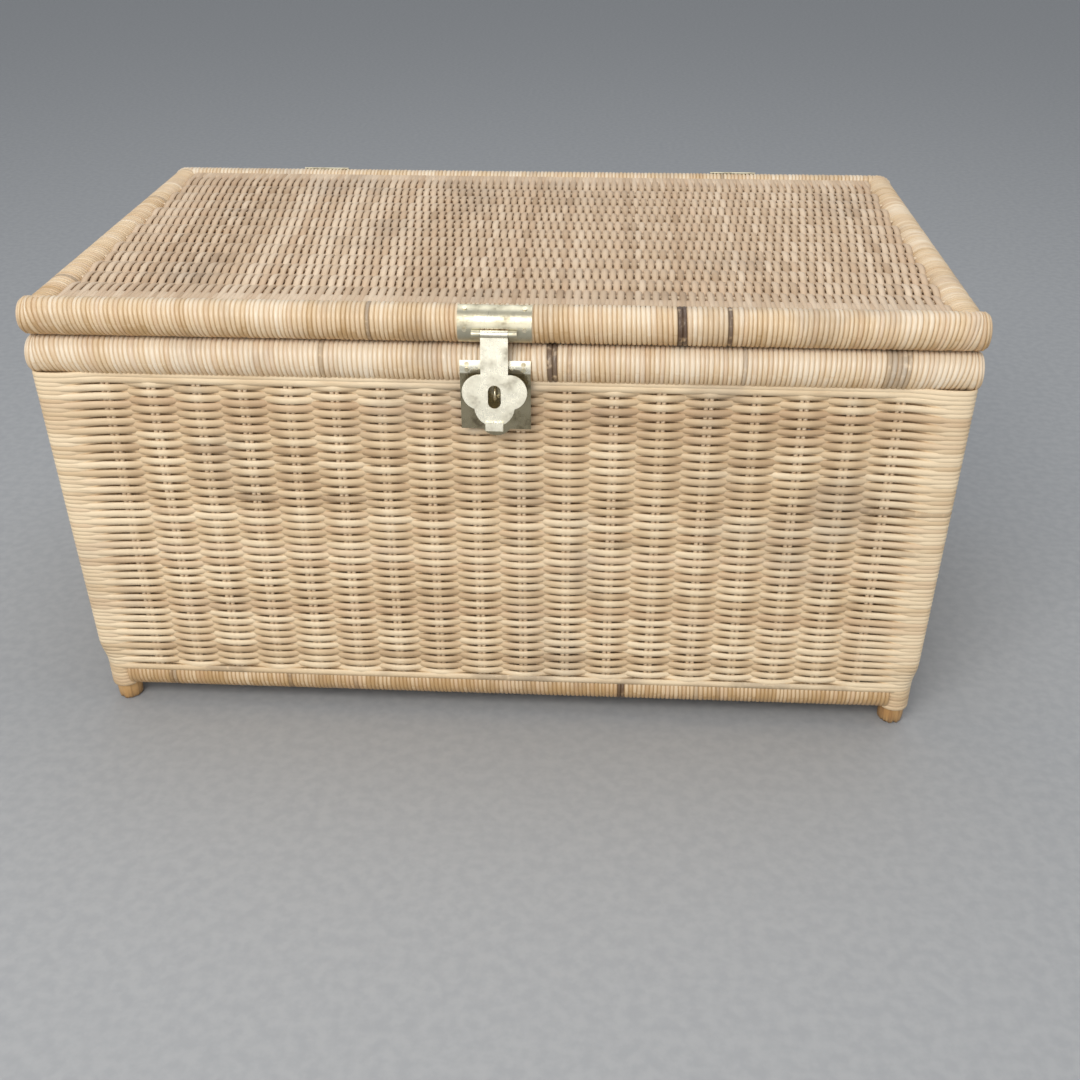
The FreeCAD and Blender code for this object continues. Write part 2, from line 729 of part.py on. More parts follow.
def rear_hinge(side, sign):
    middle = f"{sign} * dims.hinge_place"
    centre_width = "dims.hinge_centre_knuckle"
    side_width = f"((dims.hinge_width - {centre_width}) / 2 - dims.hinge_side_gap)"
    side_offset = f"({centre_width} / 2 + dims.hinge_side_gap + {side_width} / 2)"
    flat_in = half_depth + FIT_GAP
    flat_out = flat_in + metal

    def leaf_strip(name, low, high, width):
        outline = polygon([(flat_in, low), (flat_out, low), (flat_out, high), (flat_in, high)])
        return strip(name, outline, width, middle)

    def knuckle(name, width, offset):
        start = f"{middle} + {offset} - {width} / 2"
        return cylinder(name, "x", "dims.hinge_knuckle_radius", width, start, HINGE_Y, HINGE_Z)

    pin = cylinder(
        f"hinge_pin_{side}",
        "x",
        "dims.pin_radius",
        "dims.hinge_width",
        f"{middle} - dims.hinge_width / 2",
        HINGE_Y,
        HINGE_Z,
    )
    bore = cylinder(
        f"hinge_bore_{side}",
        "x",
        BORE_RADIUS,
        "2 * dims.hinge_width",
        f"{middle} - dims.hinge_width",
        HINGE_Y,
        HINGE_Z,
    )
    lip = lip_outline(clear_of_barrel, -lip_half, -1)
    leaf = fuse(
        f"rim_leaf_{side}",
        leaf_strip(f"rim_leaf_flat_{side}", leaf_base, hinge_z - clear_of_barrel, "dims.hinge_width"),
        leaf_strip(f"rim_leaf_neck_{side}", leaf_base, hinge_z, centre_width),
        knuckle(f"rim_leaf_knuckle_{side}", centre_width, "0"),
        strip(f"rim_leaf_lip_{side}", lip, "dims.hinge_width", middle),
        strip(f"rim_leaf_lip_root_{side}", lip_outline(LIP_ROOT, -lip_half, -1), centre_width, middle),
    )
    node(cut(f"rim_leaf_cut_{side}", leaf, pin), f"hinge_rim_leaf_{side}")
    node(pin, f"hinge_pin_{side}")

    parts = [
        strip(
            f"lid_leaf_bend_{side}",
            ring_sector(rear_rail, lid_radius + FIT_GAP, lid_radius + FIT_GAP + metal, 0, leaf_wrap),
            "dims.hinge_width",
            middle,
        ),
        leaf_strip(f"lid_leaf_flat_{side}", hinge_z + clear_of_barrel, lid_z, "dims.hinge_width"),
    ]
    for count, offset_sign in enumerate((-1, 1)):
        offset = f"{offset_sign} * {side_offset}"
        where = f"{middle} + {offset}"
        neck = polygon(
            [
                (flat_in, hinge_z),
                (flat_out, hinge_z),
                (flat_out, hinge_z + clear_of_barrel + metal),
                (flat_in, hinge_z + clear_of_barrel + metal),
            ]
        )
        lip = lip_outline(LIP_ROOT, lip_half, 1)
        parts.append(strip(f"lid_leaf_neck_{side}_{count}", neck, side_width, where))
        parts.append(strip(f"lid_leaf_lip_{side}_{count}", lip, side_width, where))
        parts.append(knuckle(f"lid_leaf_knuckle_{side}_{count}", side_width, offset))
    node(cut(f"lid_leaf_cut_{side}", fuse(f"lid_leaf_{side}", *parts), bore), f"hinge_lid_leaf_{side}")


for side, sign in SIDES_X.items():
    rear_hinge(side, sign)


# Small round-headed nails through the brass, driven into the poles.
nail_head = size_of("dims.nail_head")
nail_head_radius = size_of("dims.nail_head_radius")
nail_shank = size_of("dims.nail_shank_radius")
nail_length = size_of("dims.nail_length")


def nail(x, point, degrees):
    """A nail whose head sits on point (y, z) and whose shank runs in, against degrees."""
    angle = math.radians(degrees)
    out = FreeCAD.Vector(0, math.cos(angle), math.sin(angle))
    seat = FreeCAD.Vector(x, *point)
    head = Part.makeCylinder(nail_head_radius, nail_head, seat, out)
    shank = Part.makeCylinder(nail_shank, nail_length, seat - out * nail_length, out)
    return head.fuse(shank).removeSplitter()


def nails(name, places):
    obj = doc.addObject("Part::Feature", name)
    obj.Shape = Part.makeCompound([nail(*spot) for spot in places])
    obj.Placement = FreeCAD.Placement()
    return node(obj, name)


LID_SEAT = lid_radius + FIT_GAP + metal
RIM_SEAT = rim_radius + FIT_GAP + metal
hasp_width = size_of("dims.hasp_plate_width")
back_width = size_of("dims.back_plate_width")
hinge_place = size_of("dims.hinge_place")
hinge_width = size_of("dims.hinge_width")
NAIL_EDGE = 6

nails(
    "hasp_lid_plate_nails",
    [
        (sign * (hasp_width / 2 - NAIL_EDGE), polar(front_rail, LID_SEAT, degrees), degrees)
        for sign in (-1, 1)
        for degrees in (118, 178)
    ],
)
nails(
    "hasp_back_plate_nails",
    [
        (sign * (back_width / 2 - NAIL_EDGE), polar(rim_front, RIM_SEAT, degrees), degrees)
        for sign in (-1, 1)
        for degrees in (166, 180)
    ],
)
from_middle = hinge_width / 2 - NAIL_EDGE
hinge_nails_x = [sign * hinge_place + inner * from_middle for sign in (-1, 1) for inner in (-1, 1)]
nails("hinge_rim_nails", [(x, (half_depth + FIT_GAP + metal, rim_z), 0) for x in hinge_nails_x])
nails(
    "hinge_lid_nails",
    [(x, polar(rear_rail, LID_SEAT, degrees), degrees) for x in hinge_nails_x for degrees in (12, 55)],
)

doc.recompute()
for obj in doc.Objects:
    if "Invalid" in obj.State or "Error" in obj.State:
        raise RuntimeError(f"{obj.Name} failed: {obj.State}")
for obj in nodes:
    if obj.Shape.isNull() or not obj.Shape.isValid() or obj.Shape.Volume <= 0:
        raise RuntimeError(f"{obj.Label} has no valid shape")

os.makedirs("parts", exist_ok=True)
for obj in nodes:
    obj.Shape.exportStep(os.path.join("parts", f"{obj.Label}.step"))
    print(f"{obj.Label}: {len(obj.Shape.Solids)} solids, {obj.Shape.Volume:.1f} mm3")
print(f"hasp axis y {hasp_y:.3f} z {hasp_z:.3f}")
print(f"hinge axis y {hinge_y:.3f} z {hinge_z:.3f}")
print(f"{len(nodes)} nodes")
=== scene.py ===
"""Looks of the woven rattan trunk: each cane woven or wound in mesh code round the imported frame.

Places come from the CAD frame.  Woven walls, lid panel and floor are canes that pass over and
under the CAD stakes, the rails are wound turn by turn, and the post ends and brass are worn.
"""

import math

import bpy
import numpy as np
from mathutils import Matrix, Vector


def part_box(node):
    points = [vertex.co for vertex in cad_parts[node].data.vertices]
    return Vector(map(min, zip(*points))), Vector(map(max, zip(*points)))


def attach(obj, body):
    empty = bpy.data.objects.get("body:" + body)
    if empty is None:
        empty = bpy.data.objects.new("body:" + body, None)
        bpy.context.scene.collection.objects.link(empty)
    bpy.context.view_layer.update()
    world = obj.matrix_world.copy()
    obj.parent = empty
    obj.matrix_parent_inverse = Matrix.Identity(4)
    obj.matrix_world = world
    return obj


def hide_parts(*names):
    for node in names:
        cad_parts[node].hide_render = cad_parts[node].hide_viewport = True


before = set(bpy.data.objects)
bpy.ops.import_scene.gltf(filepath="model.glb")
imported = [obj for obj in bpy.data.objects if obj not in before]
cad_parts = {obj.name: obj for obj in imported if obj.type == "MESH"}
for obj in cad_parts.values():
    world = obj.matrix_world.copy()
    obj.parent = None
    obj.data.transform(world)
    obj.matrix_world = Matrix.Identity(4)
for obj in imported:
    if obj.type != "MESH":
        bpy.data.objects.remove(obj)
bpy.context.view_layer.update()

MM = 0.001
# each cane's grain has a seed from 0 to MOST_SEED, and the others start each part's random draws
MOST_SEED = 50
WALL_SEED = 41
LID_PANEL_SEED, FLOOR_PANEL_SEED = 81, 82
LID_RAIL_SEED, RIM_RAIL_SEED, BOTTOM_RAIL_SEED = 100, 200, 300
POST_SEED = 400
LOW_WRAP_SEEDS = {"front": 120, "rear": 110}


# ---------------------------------------------------------------- places read from the frame
def spread(node):
    """Lowest and highest corners of a CAD node, as arrays."""
    low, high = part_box(node)
    return np.array(low), np.array(high)


def rail(prefix):
    """Outer radius and centre lines of a wound frame, from its front and right windings."""
    front_low, front_high = spread(f"{prefix}_winding_front")
    right_high = spread(f"{prefix}_winding_right")[1]
    radius = (front_high[2] - front_low[2]) / 2
    return {
        "radius": radius,
        "x": right_high[0] - radius,
        "y": -front_low[1] - radius,
        "z": front_low[2] + radius,
    }


LID = rail("lid")
RIM = rail("rim")
BOTTOM = rail("bottom")
FRONT_END_ROUND = 6 * MM
REAR_END_ROUND = 14 * MM


def rounded(line, size):
    """A rail's lines with ends rounded by size, and where its straight part stops."""
    return {**line, "round": size, "straight": line["x"] + line["radius"] - size}


post_low, post_high = spread("corner_post_front_right")
POST_RADIUS = (post_high[0] - post_low[0]) / 2
POST_X = post_low[0] + POST_RADIUS
POST_Y = -post_high[1] + POST_RADIUS
POST_TOP = post_high[2]
wall_low, wall_high = spread("woven_wall_right")
WALL_THICKNESS = wall_high[0] - wall_low[0]
WALL_OFFSET = wall_high[0] - WALL_THICKNESS / 2 - POST_X
CORNER_LOW = spread("woven_wall_front")[0][2]
lid_stakes_low, lid_stakes_high = spread("lid_stakes")
floor_stakes_low, floor_stakes_high = spread("floor_stakes")
STAKE = lid_stakes_high[2] - lid_stakes_low[2]
# how far from the middle of a rail the canes beside it end, in the rail's radii
WALL_FOOT, WALL_HEAD = 0.58, 0.72
LID_END, LID_EDGE, FLOOR_EDGE = 0.78, 0.62, 0.7
# pairs of stakes in the walls, and stakes in the floor and the lid
STAKE_PITCH = 40.4 * MM
FRONT_STAKES = 18
SIDE_STAKES = 9
FLOOR_STAKES = 17
LID_STAKES = 13

# along and outward directions of each side, going round the trunk
AROUND = {
    "front": ((1, 0), (0, -1)),
    "right": ((0, 1), (1, 0)),
    "rear": ((-1, 0), (0, 1)),
    "left": ((0, -1), (-1, 0)),
}
LONG_SIDES = ("front", "rear")


def turned(side, local):
    """Local points (along, outward, up) of a side as points of the frame."""
    along, outward = (np.array([*direction, 0.0]) for direction in AROUND[side])
    up = np.array([0.0, 0.0, 1.0])
    return local[..., 0:1] * along + local[..., 1:2] * outward + local[..., 2:3] * up


# ---------------------------------------------------------------- meshes
def tube_faces(points):
    """Side quads and end caps of tubes whose points run tube, ring, side, all facing outward.

    The caps use their own copies of the end rings, which follow the tubes' points.
    """
    tubes, rings, sides = points.shape[:3]
    index = np.arange(tubes * rings * sides).reshape(tubes, rings, sides)
    here, after = index[:, :-1], index[:, 1:]
    quads = np.stack([here, np.roll(here, -1, 2), np.roll(after, -1, 2), after], -1).reshape(-1, 4)
    ends = index.size + np.arange(tubes * 2 * sides).reshape(tubes, 2, sides)
    caps = np.concatenate([ends[:, 0, ::-1], ends[:, 1]])
    middle = (rings - 1) // 2
    ring, following = points[0, middle], points[0, middle + 1]
    normal = np.cross(ring[1] - ring[0], following[0] - ring[0])
    if np.dot(normal, ring[0] - ring.mean(0)) < 0:
        return quads[:, ::-1], caps[:, ::-1]
    return quads, caps


def with_ends(values):
    """Values of the tubes' points, and again of their end rings, as rows of three."""
    return np.concatenate([values.reshape(-1, 3), values[:, [0, -1]].reshape(-1, 3)]).astype(np.float32)


def build(name, points, grain, tone, material, body, slot, replaced=()):
    """A piece of tubes.  The point layers grain and tone carry each cane's own coordinates."""
    faces = tube_faces(points)
    mesh = bpy.data.meshes.new(name)
    places = with_ends(points)
    mesh.vertices.add(len(places))
    mesh.vertices.foreach_set("co", places.ravel())
    corners = np.concatenate([group.ravel() for group in faces])
    sizes = np.concatenate([np.full(len(group), group.shape[1]) for group in faces])
    mesh.loops.add(len(corners))
    mesh.loops.foreach_set("vertex_index", corners.astype(np.int32))
    mesh.polygons.add(len(sizes))
    mesh.polygons.foreach_set("loop_start", (np.cumsum(sizes) - sizes).astype(np.int32))
    mesh.polygons.foreach_set("use_smooth", sizes == 4)
    for label, values in (("grain", grain), ("tone", tone)):
        layer = mesh.attributes.new(label, "FLOAT_VECTOR", "POINT")
        layer.data.foreach_set("vector", with_ends(values).ravel())
    mesh.update(calc_edges=True)
    mesh.validate()
    mesh.materials.append(material)
    piece = bpy.data.objects.new(name, mesh)
    bpy.context.scene.collection.objects.link(piece)
    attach(piece, body)
    if replaced:
        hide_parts(*replaced)


def swept(spine, outward, across, thick, wide, sides):
    """Points of tubes about each spine (tube, ring, 3).  thick and wide are half their oval section."""
    angle = np.arange(sides) * 2 * np.pi / sides
    wide = wide / np.abs(np.sin(angle)).max()
    thick, wide = (np.broadcast_to(half, spine.shape[:2])[:, :, None, None] for half in (thick, wide))
    cos, sin = (values[None, None, :, None] for values in (np.cos(angle), np.sin(angle)))
    return spine[:, :, None] + outward[:, :, None] * thick * cos + across[:, :, None] * wide * sin


def facing(points, axis):
    """For each point, the unit vector of one axis."""
    vectors = np.zeros_like(points)
    vectors[..., axis] = 1
    return vectors


def distances(points):
    """How far each ring of each tube is along it, in metres."""
    steps = np.linalg.norm(np.diff(points.mean(2), axis=1), axis=2)
    return np.concatenate([np.zeros((len(points), 1)), np.cumsum(steps, 1)], 1)


def cane_layers(points, along, seed, tone, crest_highlight=0.0):
    """grain (metres along, turn round the cane, seed) and tone of swept canes, made paler by a painted
    highlight.
    """
    grain = np.empty(points.shape)
    grain[..., 0] = along[..., None]
    grain[..., 1] = np.arange(points.shape[2]) / points.shape[2]
    grain[..., 2] = seed[:, None, None]
    layer = np.empty(points.shape)
    layer[...] = tone[:, None, None]
    layer[..., 0] += crest_highlight
    return grain, layer


def drift(rng, reach_along, reach_across, waves=9, closed=None):
    """A smooth random field of two directions, about -1 to 1.  closed is a length it repeats over."""
    rate = rng.uniform(0.3, 1, waves) * rng.choice([-1, 1], waves) * 2 * np.pi / reach_along
    if closed:
        rate = np.round(rate * closed / (2 * np.pi)) * 2 * np.pi / closed
    cross_rate = rng.uniform(-1, 1, waves) * 2 * np.pi / reach_across
    phase = rng.uniform(0, 2 * np.pi, waves)

    def field(along, across):
        total = sum(np.sin(a * along + c * across + p) for a, c, p in zip(rate, cross_rate, phase))
        return total / math.sqrt(waves)

    return field


def wander(rng, count, hold, size):
    """Random values in which neighbours are alike."""
    values = np.zeros(count)
    value = rng.normal() * size
    for index in range(count):
        value = hold * value + math.sqrt(1 - hold * hold) * rng.normal() * size
        values[index] = value
    return values


FAINT_STAIN, STRONG_STAIN = 0.15, 0.5


def tones(rng, count, hold, size, stained):
    """For each cane a tint about 0.5, a stain that is mostly 0, and a warmth."""
    tint = np.clip(0.5 + wander(rng, count, hold, size), 0, 1)
    stain = (rng.uniform(size=count) < stained) * rng.uniform(FAINT_STAIN, STRONG_STAIN, count)
    return np.stack([tint, stain, rng.uniform(size=count)], 1)


def smooth(values):
    """Smoothstep of values between 0 and 1."""
    values = np.clip(values, 0, 1)
    return values * values * (3 - 2 * values)


# ---------------------------------------------------------------- materials
class Nodes:
    """Short names for making a node material."""

    def __init__(self, name):
        self.material = bpy.data.materials.new(name)
        self.material.use_nodes = True
        self.tree = self.material.node_tree
        self.shader = self.tree.nodes["Principled BSDF"]

    def add(self, kind, **settings):
        node = self.tree.nodes.new(kind)
        for key, value in settings.items():
            setattr(node, key, value)
        return node

    def put(self, value, socket):
        if isinstance(value, bpy.types.NodeSocket):
            self.tree.links.new(value, socket)
        else:
            socket.default_value = value

    def math(self, operation, *values):
        node = self.add("ShaderNodeMath", operation=operation)
        for value, socket in zip(values, node.inputs):
            self.put(value, socket)
        return node.outputs[0]

    def plus(self, value, weight, base):
        """base + weight * (value - 0.5)"""
        return self.math("MULTIPLY_ADD", self.math("SUBTRACT", value, 0.5), weight, base)

    def times(self, first, second):
        return self.math("MULTIPLY", first, second)

    def mix(self, factor, first, second):
        node = self.add("ShaderNodeMix", data_type="RGBA")
        for value, place in ((factor, 0), (first, 6), (second, 7)):
            self.put(value, node.inputs[place])
        return node.outputs[2]

    def ramp(self, value, low, high):
        """0 at low, 1 at high, smooth between."""
        node = self.add("ShaderNodeMapRange", interpolation_type="SMOOTHSTEP")
        for number, socket in zip((value, low, high), node.inputs):
            self.put(number, socket)
        return node.outputs[0]

    def noise(self, vector, scale=1.0, detail=3.0):
        node = self.add("ShaderNodeTexNoise")
        self.put(vector, node.inputs["Vector"])
        node.inputs["Scale"].default_value = scale
        node.inputs["Detail"].default_value = detail
        return node.outputs[0]

    def vector(self, *values):
        node = self.add("ShaderNodeCombineXYZ")
        for value, socket in zip(values, node.inputs):
            self.put(value, socket)
        return node.outputs[0]

    def split(self, vector):
        """The three numbers of a vector."""
        node = self.add("ShaderNodeSeparateXYZ")
        self.put(vector, node.inputs[0])
        return node.outputs

    def layer(self, name):
        """The three numbers of a point layer."""
        return self.split(self.add("ShaderNodeAttribute", attribute_name=name).outputs["Vector"])

    def place(self):
        return self.add("ShaderNodeTexCoord").outputs["Object"]

    def stretched(self, place, scales):
        """place scaled differently along each axis."""
        node = self.add("ShaderNodeVectorMath", operation="MULTIPLY")
        self.put(place, node.inputs[0])
        node.inputs[1].default_value = scales
        return node.outputs[0]

    def bump(self, height, strength, distance):
        node = self.add("ShaderNodeBump")
        self.put(height, node.inputs["Height"])
        node.inputs["Strength"].default_value = strength
        node.inputs["Distance"].default_value = distance
        self.put(node.outputs[0], self.shader.inputs["Normal"])

    def finish(self, colour, roughness, metallic=0.0, specular=0.5):
        self.put(colour, self.shader.inputs["Base Color"])
        self.put(roughness, self.shader.inputs["Roughness"])
        self.shader.inputs["Metallic"].default_value = metallic
        self.shader.inputs["Specular IOR Level"].default_value = specular
        return self.material


STAIN = (0.050, 0.020, 0.012, 1)
# pale colour of a painted highlight on brass
HIGHLIGHT_PAINT = (0.88, 0.84, 0.68, 1)
GREYED = (0.35, 0.28, 0.21, 1)
WARM = (0.60, 0.39, 0.23, 1)
DIRT = (0.12, 0.075, 0.045, 1)
# noise rates of cane: per metre along it, per turn round it, and per unit of its seed
FIBRE_ALONG, FIBRE_ROUND, STREAK_ALONG = 55, 12, 14
SEED_RATE = 7.3
# strengths of the streaks, the broad patches and the small patches
STREAKS, PATCHES, SMALL_PATCHES = 1.1, 1.0, 0.45
SMALL_PATCH_RATE, GREY_PATCH_RATE, BLOT_RATE = 6, 2.3, 150.0
WARM_SHARE, GREY_SHARE, FIBRE_SHARE, DIRT_SHARE = 0.35, 0.32, 0.45, 0.55


def cane_material(name, pale, mid, deep, gloss, patch_scale, stain_length, contrast):
    """Cane with its own tint, streaks along it, broad patches and stains."""
    m = Nodes(name)
    along, turn, seed = m.layer("grain")
    tint, stain, warmth = m.layer("tone")
    place = m.place()
    own = m.times(seed, SEED_RATE)
    fibre = m.noise(m.vector(m.times(along, FIBRE_ALONG), m.times(turn, FIBRE_ROUND), own), 1.0, 4.0)
    streak = m.noise(m.vector(m.times(along, STREAK_ALONG), own, 0.0), 1.0, 2.0)
    value = m.plus(streak, STREAKS * contrast, tint)
    value = m.plus(m.noise(place, patch_scale), PATCHES * contrast, value)
    value = m.plus(m.noise(place, patch_scale * SMALL_PATCH_RATE), SMALL_PATCHES * contrast, value)
    colour = m.mix(m.ramp(value, -0.05, 0.5), deep, mid)
    colour = m.mix(m.ramp(value, 0.45, 1.05), colour, pale)
    colour = m.mix(m.times(m.ramp(warmth, 0.6, 1.0), WARM_SHARE), colour, WARM)
    grey = m.ramp(m.noise(place, patch_scale * GREY_PATCH_RATE, 4.0), 0.52, 0.72)
    colour = m.mix(m.times(grey, GREY_SHARE), colour, GREYED)
    colour = m.mix(m.times(m.ramp(fibre, 0.5, 0.78), FIBRE_SHARE), colour, deep)
    stretch = m.noise(m.vector(m.times(along, stain_length), own, 3.0), 1.0, 2.0)
    blot = m.times(m.ramp(stretch, 0.5, 0.6), stain) if stain_length else stain
    blot = m.times(blot, m.ramp(m.noise(place, BLOT_RATE), 0.2, 0.5))
    colour = m.mix(blot, colour, STAIN)
    m.bump(fibre, 0.3, 0.0005)
    return m.finish(colour, m.plus(fibre, 0.25, gloss), specular=0.45)


GRAIN_ALONG, GRAIN_ACROSS = 16.0, 330.0


def grain_material(name, axis, pale, mid, deep, gloss, worn_below=None):
    """Solid rattan with grain along one axis, for stakes and poles."""
    m = Nodes(name)
    place = m.place()
    scales = [GRAIN_ACROSS] * 3
    scales[axis] = GRAIN_ALONG
    fibre = m.noise(m.stretched(place, scales), 1.0, 4.0)
    patch = m.noise(place, 38.0, 4.0)
    colour = m.mix(m.ramp(patch, 0.35, 0.7), mid, pale)
    colour = m.mix(m.times(m.ramp(fibre, 0.45, 0.75), 0.75), colour, deep)
    if worn_below:
        dirt = m.times(m.ramp(m.split(place)[2], worn_below, 0.0), m.ramp(fibre, 0.3, 0.6))
        colour = m.mix(m.times(dirt, DIRT_SHARE), colour, DIRT)
    m.bump(fibre, 0.45, 0.0007)
    return m.finish(colour, m.plus(fibre, 0.3, gloss), specular=0.45)


def brass_material(name, bright, dull, tarnish, gloss, age, highlight_above=None):
    """Thin brass: brushed lines, dull clouds, tarnish and small scratches, and a painted highlight above a
    height when one is given.
    """
    m = Nodes(name)
    place = m.place()
    brushed = m.noise(m.stretched(place, (900.0, 120.0, 60.0)), 1.0)
    scratch = m.ramp(m.noise(m.stretched(place, (160.0, 160.0, 1100.0)), 1.0, 2.0), 0.66, 0.7)
    cloud = m.noise(place, 75.0, 5.0)
    speck = m.noise(place, 430.0)
    dulled = m.ramp(cloud, 0.4, 0.68)
    colour = m.mix(dulled, bright, dull)
    dark = m.times(m.ramp(m.plus(speck, 0.4, cloud), 0.52, 0.78), age)
    colour = m.mix(dark, colour, tarnish)
    # painted highlight: a pale band on the brass above the given height
    if highlight_above:
        highlight_band = m.ramp(m.split(place)[2], highlight_above, highlight_above + 1.5 * MM)
        colour = m.mix(highlight_band, colour, HIGHLIGHT_PAINT)
    rough = m.plus(brushed, 0.16, m.math("MULTIPLY_ADD", dulled, 0.14, gloss))
    rough = m.math("MULTIPLY_ADD", dark, 0.25, rough)
    m.bump(m.math("MULTIPLY_ADD", scratch, -0.3, m.plus(cloud, 2.5, brushed)), 0.25, 0.0004)
    return m.finish(colour, rough, metallic=0.95)


def floor_material():
    m = Nodes("plain_floor")
    speck = m.ramp(m.noise(m.place(), 90.0, 5.0), 0.3, 0.7)
    return m.finish(m.mix(speck, (0.36, 0.37, 0.38, 1), (0.40, 0.41, 0.415, 1)), 0.85)


WALL_CANE = cane_material(
    "wall_cane", (0.88, 0.71, 0.475, 1), (0.71, 0.53, 0.32, 1), (0.53, 0.37, 0.21, 1),
    gloss=0.5, patch_scale=5.0, stain_length=11.0, contrast=1.0,
)
LID_CANE = cane_material(
    "lid_cane", (0.80, 0.63, 0.45, 1), (0.66, 0.49, 0.325, 1), (0.48, 0.33, 0.20, 1),
    gloss=0.5, patch_scale=4.5, stain_length=16.0, contrast=0.9,
)
WINDING_CANE = cane_material(
    "winding_cane", (0.86, 0.73, 0.55, 1), (0.74, 0.56, 0.35, 1), (0.52, 0.335, 0.155, 1),
    gloss=0.34, patch_scale=7.0, stain_length=0, contrast=0.7,
)
# pale, middle and deep colours of solid rattan, and its roughness
REED = ((0.84, 0.68, 0.48, 1), (0.76, 0.59, 0.40, 1), (0.60, 0.43, 0.26, 1), 0.5)
BARE = ((0.62, 0.38, 0.16, 1), (0.49, 0.27, 0.10, 1), (0.25, 0.12, 0.045, 1), 0.42)
# bright, dull and tarnished colours of brass, its roughness and how far it has aged
BRIGHT = ((0.83, 0.79, 0.64, 1), (0.66, 0.62, 0.49, 1), (0.22, 0.18, 0.11, 1), 0.26, 0.4)
PLATE = ((0.58, 0.54, 0.40, 1), (0.46, 0.42, 0.30, 1), (0.20, 0.16, 0.10, 1), 0.30, 0.5)
AGED = ((0.40, 0.35, 0.23, 1), (0.28, 0.24, 0.15, 1), (0.10, 0.08, 0.05, 1), 0.2, 0.8)
NAIL_BRASS = ((0.76, 0.68, 0.48, 1), (0.55, 0.48, 0.32, 1), (0.18, 0.14, 0.08, 1), 0.22, 0.6)
AXES = "xyz"
STAKE_REED = [grain_material(f"stake_reed_{axis}", index, *REED) for index, axis in enumerate(AXES)]
BARE_POLE = [grain_material(f"bare_pole_{axis}", index, *BARE) for index, axis in enumerate(AXES)]
POST_POLE = grain_material("post_pole", 2, *BARE, worn_below=0.012)
BRIGHT_BRASS = brass_material("bright_brass", *BRIGHT)
PLATE_BRASS = brass_material("plate_brass", *PLATE)
# painted highlight on the tops of the back plate and rim leaves, from 4 mm below the rim's middle
AGED_BRASS = brass_material("aged_brass", *AGED, highlight_above=RIM["z"] - 4 * MM)
WIRE_BRASS = brass_material("wire_brass", *NAIL_BRASS)

# ---------------------------------------------------------------- woven walls
CANE_PITCH = 4.19 * MM
CANE_HALF_THICK = 1.4 * MM
CANE_SIDES = 6
# how wide a cane is in pitches, and how far that varies
FULLNESS = 1.48
WIDTH_SPREAD, NARROWEST, WIDEST = 0.06, -0.12, 0.05
# how far out of the stakes' plane the middle of a cane swings, in stake and cane thicknesses
CANE_SHARE = 0.65
SWING = STAKE / 2 + CANE_SHARE * CANE_HALF_THICK
# canes get a painted highlight, paler where they stand out most
CREST_HIGHLIGHT = 0.4
CREST_HIGHLIGHT_NARROWNESS = 8
CORNER_WRAP = POST_RADIUS + 2.6 * MM
LOW_WRAP = POST_RADIUS + 1.3 * MM
CORNER_FLARE = 4.5 * MM
CORNER_TAPER_ROWS = 7.0
CORNER_SQUARENESS = 5.0
WALL_BASE = BOTTOM["z"] + WALL_FOOT * BOTTOM["radius"]
WALL_TOP = RIM["z"] - WALL_HEAD * RIM["radius"]
ROWS = round((WALL_TOP - WALL_BASE) / CANE_PITCH)
ROW_PITCH = (WALL_TOP - WALL_BASE) / ROWS
STRAIGHT_TOP_ROWS = 2
STAKE_STEPS = 8
CORNER_STEPS = 11
# rows drift up and down by this share of their pitch, less near the edges
ROW_DRIFT = 0.33
EDGE_FADE_ROWS = 5.0
# the shortest waves of that drift, in metres along the canes and in canes across them
WALL_DRIFT_REACH, PANEL_DRIFT_REACH = 0.5, 0.35
DRIFT_ROWS = 30.0
PERIMETER = 4 * (POST_X + POST_Y) + 2 * math.pi * LOW_WRAP


def corner_wraps():
    """How far each row stands from the middle of a corner post, and how square it turns.

    The lowest rows close in on the post, and the others flare a little upwards.
    """
    share = smooth(np.arange(ROWS) / CORNER_TAPER_ROWS)[:, None]
    wraps = LOW_WRAP + (CORNER_WRAP - LOW_WRAP) * share + CORNER_FLARE * np.linspace(0, 1, ROWS)[:, None]
    return wraps, share


def run_along(half, stakes):
    """Distances along a wall from post to post, with steps that fit its stakes."""
    last = (stakes - 1) / 2 * STAKE_PITCH
    inner = np.linspace(-last, last, (stakes - 1) * STAKE_STEPS + 1)
    outer = np.linspace(last, half, CORNER_STEPS)[1:]
    return np.concatenate([-outer[::-1], inner, outer])


def stand_out(run, half, stakes, parity):
    """How far each row stands out of the plane of the stakes: over one pair, under the next."""
    last = (stakes - 1) / 2 * STAKE_PITCH
    row = np.arange(ROWS)
    sign = np.where((row + parity) % 2 == 0, 1.0, -1.0)[:, None]
    nearest = np.clip(run, -last, last)
    swing = np.cos(np.pi * (nearest + last) / STAKE_PITCH)[None] * sign * SWING
    straight = (row >= ROWS - STRAIGHT_TOP_ROWS) | (row == 0)
    swing[straight] = SWING
    at_post = smooth((np.abs(run) - last) / (half - last))[None]
    return swing * (1 - at_post) + (corner_wraps()[0] - WALL_OFFSET) * at_post


def widths(rng, shape):
    """Widths of canes in pitches."""
    return FULLNESS * (1 + np.clip(rng.normal(size=shape) * WIDTH_SPREAD, NARROWEST, WIDEST))


def edge_fade(order, count):
    """0 at the first and last canes of a woven piece, 1 well inside it."""
    return np.clip(np.minimum(order, count - 1 - order) / EDGE_FADE_ROWS, 0, 1)


wall_rng = np.random.default_rng(WALL_SEED)
row_drift = drift(wall_rng, WALL_DRIFT_REACH, DRIFT_ROWS, closed=PERIMETER)
row_tones = tones(wall_rng, ROWS, hold=0.25, size=0.2, stained=0.10)
row_seeds = wall_rng.uniform(0, MOST_SEED, ROWS)
row_widths = widths(wall_rng, ROWS)


